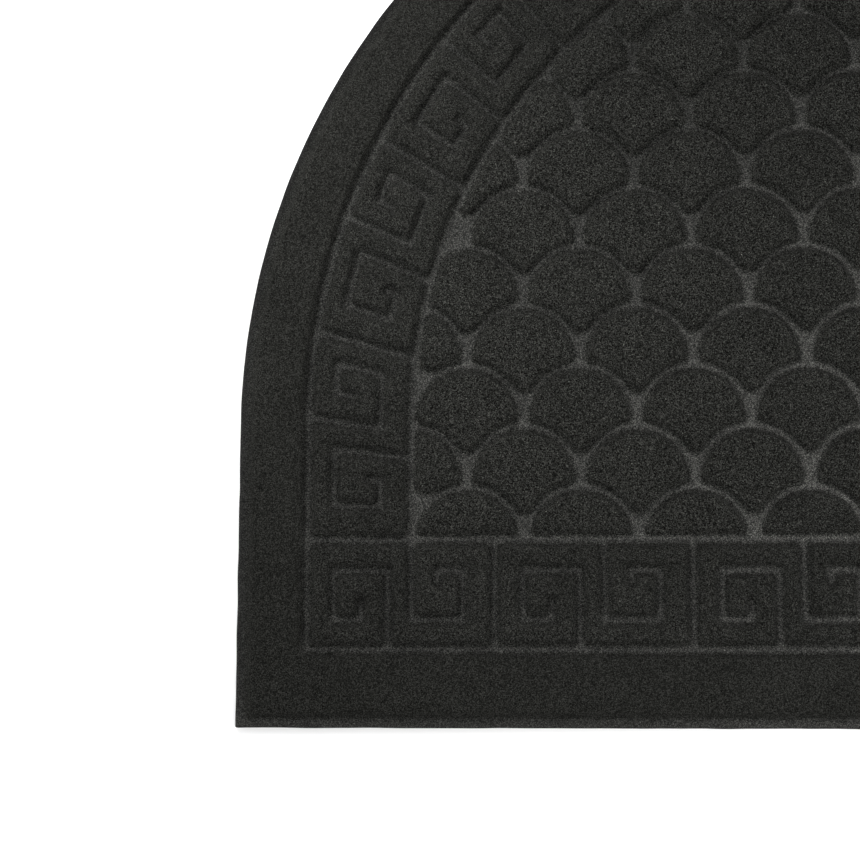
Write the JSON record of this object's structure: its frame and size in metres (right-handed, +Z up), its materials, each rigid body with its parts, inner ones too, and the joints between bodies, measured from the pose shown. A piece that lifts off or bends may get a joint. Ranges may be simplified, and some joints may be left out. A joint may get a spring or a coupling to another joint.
{
  "type": "half-round doormat",
  "caption": "Half-round felt doormat with a pressed relief: a plain band, a Greek key border and a field of fish-scale scallops. It lies flat at a doorway.",
  "frame": {"origin": "centre of the mat's outline, half way along its width and its depth, on its underside", "axes": "+X along the straight foot, +Y from the foot towards the top of the arch, +Z up through the thickness"},
  "size_m": [0.7, 0.4926, 0.006],
  "materials": {
    "felt": "dark charcoal needle-punched felt with a short curly nap, smoother and slightly glossier where it is pressed"
  },
  "bodies": {
    "root": {"felt_mat": "felt"}
  },
  "joints": []
}
